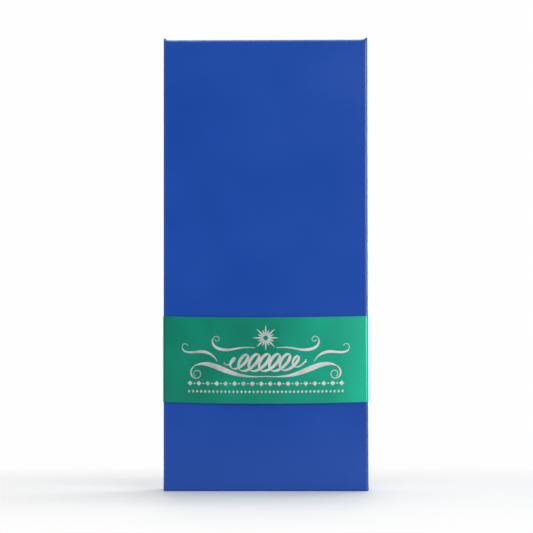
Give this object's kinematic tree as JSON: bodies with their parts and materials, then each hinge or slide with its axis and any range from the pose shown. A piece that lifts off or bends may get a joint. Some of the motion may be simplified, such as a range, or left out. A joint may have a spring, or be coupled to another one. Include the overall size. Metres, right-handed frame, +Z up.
{
  "type": "calligraphy set box",
  "caption": "Tall slim paper-wrapped board sleeve with a sliding tray, a loose paper belly band, and a feather pen and ink bottle in a foam insert.",
  "frame": {"origin": "middle of the box's foot, on the surface that it stands on", "axes": "+Z up along the box's length, -Y out of its broad front face, +X to the right as seen from the front"},
  "size_m": [0.1274, 0.0389, 0.281],
  "materials": {
    "greyboard": "matte",
    "blue_paper": "satin",
    "white_paper": "matte",
    "green_paper": "satin",
    "glue": "satin",
    "tray_paper": "satin",
    "gummed_paper": "matte",
    "foam": "matte",
    "flock": "matte",
    "nib_brass": "polished",
    "ferrule_brass": "satin",
    "grip_metal": "gloss",
    "quill": "satin",
    "feather": "satin",
    "glass": "gloss",
    "ink": "gloss",
    "label_paper": "matte",
    "cap_plastic": "satin",
    "seal_foam": "matte"
  },
  "bodies": {
    "sleeve": {"sleeve_front_board": "greyboard", "sleeve_back_board": "greyboard", "sleeve_left_board": "greyboard", "sleeve_right_board": "greyboard", "sleeve_wrap": "blue_paper", "sleeve_liner": "white_paper"},
    "band": {"belly_band": "green_paper", "band_glue": "glue"},
    "tray": {"tray_floor_board": "greyboard", "tray_left_wall": "greyboard", "tray_right_wall": "greyboard", "tray_foot_wall": "greyboard", "tray_head_wall": "greyboard", "tray_wrap": "tray_paper", "tray_liner": "white_paper", "corner_stays": "gummed_paper", "insert_foam": "foam", "insert_cover": "flock", "nib_ferrule": "ferrule_brass", "pen_grip": "grip_metal", "pen_collar": "ferrule_brass", "feather_shaft": "quill", "feather_vane": "feather", "ink_bottle": "glass", "ink": "ink", "bottle_label": "label_paper"},
    "cap_carrier": {"cap_seal": "seal_foam"},
    "cap": {"bottle_cap": "cap_plastic"},
    "nib": {"nib": "nib_brass"}
  },
  "joints": [
    {"name": "tray_slide", "type": "slide", "parent": "sleeve", "child": "tray", "axis": [0, 0, 1], "range_m": [0, 0.25]},
    {"name": "band_slide", "type": "slide", "parent": "sleeve", "child": "band", "axis": [0, 0, 1], "range_m": [-0.054, 0.228]},
    {"name": "cap_turn", "type": "hinge", "parent": "cap_carrier", "child": "cap", "pos_m": [0.0358, 0.0006, 0.0601], "axis": [0, 0, 1], "range_deg": [0, 900]},
    {"name": "cap_rise", "type": "slide", "parent": "tray", "child": "cap_carrier", "axis": [0, 0, 1], "range_m": [0, 0.0075]},
    {"name": "nib_pull", "type": "slide", "parent": "tray", "child": "nib", "axis": [0, 0, -1], "range_m": [0, 0.0125]}
  ],
  "couplings": [
    {"joint": "cap_rise", "follows": "cap_turn", "m_per_rad": 0.00047746}
  ]
}
